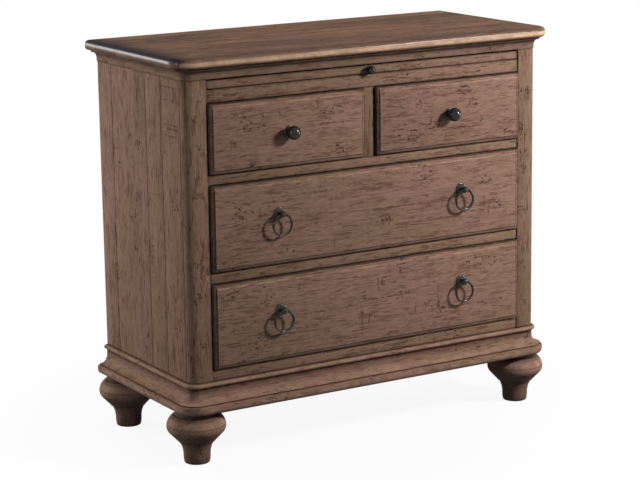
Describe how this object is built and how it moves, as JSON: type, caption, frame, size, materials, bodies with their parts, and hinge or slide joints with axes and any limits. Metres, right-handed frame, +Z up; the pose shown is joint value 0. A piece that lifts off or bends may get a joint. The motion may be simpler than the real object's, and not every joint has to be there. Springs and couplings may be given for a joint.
{
  "type": "bachelors chest",
  "caption": "Low chest with a pull-out tray over small knob-handled drawers and long ring-pull drawers, moulded plinth and turned bun feet.",
  "frame": {"origin": "on the floor, at the centre of the chest's overall width and of its depth from the knobs to the back feet", "axes": "+X to the right as seen from the front, +Y towards the back, +Z up; the drawers open towards -Y"},
  "size_m": [0.9312, 0.4529, 0.838],
  "materials": {
    "body_wood": "worn glazed stain, satin, taupe brown with dark flecks",
    "top_wood": "darker brown stain, semi-gloss, rubbed edges",
    "box_wood": "clear lacquered pale hardwood, matte",
    "panel_wood": "plain sanded panel, matte",
    "dark_metal": "oil-darkened, satin, rubbed highlights"
  },
  "bodies": {
    "case": {"top_board": "top_wood", "cove_frame_front": "body_wood", "cove_frame_left": "body_wood", "cove_frame_right": "body_wood", "cove_frame_back": "panel_wood", "front_post_left": "body_wood", "front_post_right": "body_wood", "side_panel_left": "body_wood", "side_panel_right": "body_wood", "back_panel": "panel_wood", "tray_rail": "body_wood", "middle_rail": "body_wood", "lower_rail": "body_wood", "centre_stile": "body_wood", "tray_shelf": "panel_wood", "upper_dust_panel": "panel_wood", "lower_dust_panel": "panel_wood", "case_bottom": "body_wood", "bead_board": "body_wood", "base_moulding_front": "body_wood", "base_moulding_left": "body_wood", "base_moulding_right": "body_wood", "base_board": "panel_wood", "foot_front_left": "body_wood", "foot_front_right": "body_wood", "foot_back_left": "body_wood", "foot_back_right": "body_wood"},
    "tray": {"tray_board": "body_wood", "tray_lip": "body_wood", "tray_knob": "dark_metal"},
    "left_small_drawer": {"left_small_drawer_front": "body_wood", "left_small_drawer_back": "box_wood", "left_small_drawer_left_side": "box_wood", "left_small_drawer_right_side": "box_wood", "left_small_drawer_bottom": "box_wood", "left_small_drawer_knob": "dark_metal"},
    "right_small_drawer": {"right_small_drawer_front": "body_wood", "right_small_drawer_back": "box_wood", "right_small_drawer_left_side": "box_wood", "right_small_drawer_right_side": "box_wood", "right_small_drawer_bottom": "box_wood", "right_small_drawer_knob": "dark_metal"},
    "middle_drawer": {"middle_drawer_front": "body_wood", "middle_drawer_back": "box_wood", "middle_drawer_left_side": "box_wood", "middle_drawer_right_side": "box_wood", "middle_drawer_bottom": "box_wood", "middle_drawer_left_pull_post": "dark_metal", "middle_drawer_right_pull_post": "dark_metal"},
    "lower_drawer": {"lower_drawer_front": "body_wood", "lower_drawer_back": "box_wood", "lower_drawer_left_side": "box_wood", "lower_drawer_right_side": "box_wood", "lower_drawer_bottom": "box_wood", "lower_drawer_left_pull_post": "dark_metal", "lower_drawer_right_pull_post": "dark_metal"},
    "middle_left_ring": {"middle_drawer_left_pull_ring": "dark_metal"},
    "middle_right_ring": {"middle_drawer_right_pull_ring": "dark_metal"},
    "lower_left_ring": {"lower_drawer_left_pull_ring": "dark_metal"},
    "lower_right_ring": {"lower_drawer_right_pull_ring": "dark_metal"}
  },
  "joints": [
    {"name": "tray_slide", "type": "slide", "parent": "case", "child": "tray", "axis": [0, -1, 0], "range_m": [0, 0.22]},
    {"name": "left_small_drawer_slide", "type": "slide", "parent": "case", "child": "left_small_drawer", "axis": [0, -1, 0], "range_m": [0, 0.26]},
    {"name": "right_small_drawer_slide", "type": "slide", "parent": "case", "child": "right_small_drawer", "axis": [0, -1, 0], "range_m": [0, 0.26]},
    {"name": "middle_drawer_slide", "type": "slide", "parent": "case", "child": "middle_drawer", "axis": [0, -1, 0], "range_m": [0, 0.26]},
    {"name": "lower_drawer_slide", "type": "slide", "parent": "case", "child": "lower_drawer", "axis": [0, -1, 0], "range_m": [0, 0.26]},
    {"name": "middle_left_ring_swing", "type": "hinge", "parent": "middle_drawer", "child": "middle_left_ring", "pos_m": [-0.225, -0.209, 0.507], "axis": [-1, 0, 0], "range_deg": [-16, 196]},
    {"name": "middle_right_ring_swing", "type": "hinge", "parent": "middle_drawer", "child": "middle_right_ring", "pos_m": [0.225, -0.209, 0.507], "axis": [-1, 0, 0], "range_deg": [-16, 196]},
    {"name": "lower_left_ring_swing", "type": "hinge", "parent": "lower_drawer", "child": "lower_left_ring", "pos_m": [-0.225, -0.209, 0.3055], "axis": [-1, 0, 0], "range_deg": [-16, 196]},
    {"name": "lower_right_ring_swing", "type": "hinge", "parent": "lower_drawer", "child": "lower_right_ring", "pos_m": [0.225, -0.209, 0.3055], "axis": [-1, 0, 0], "range_deg": [-16, 196]}
  ]
}
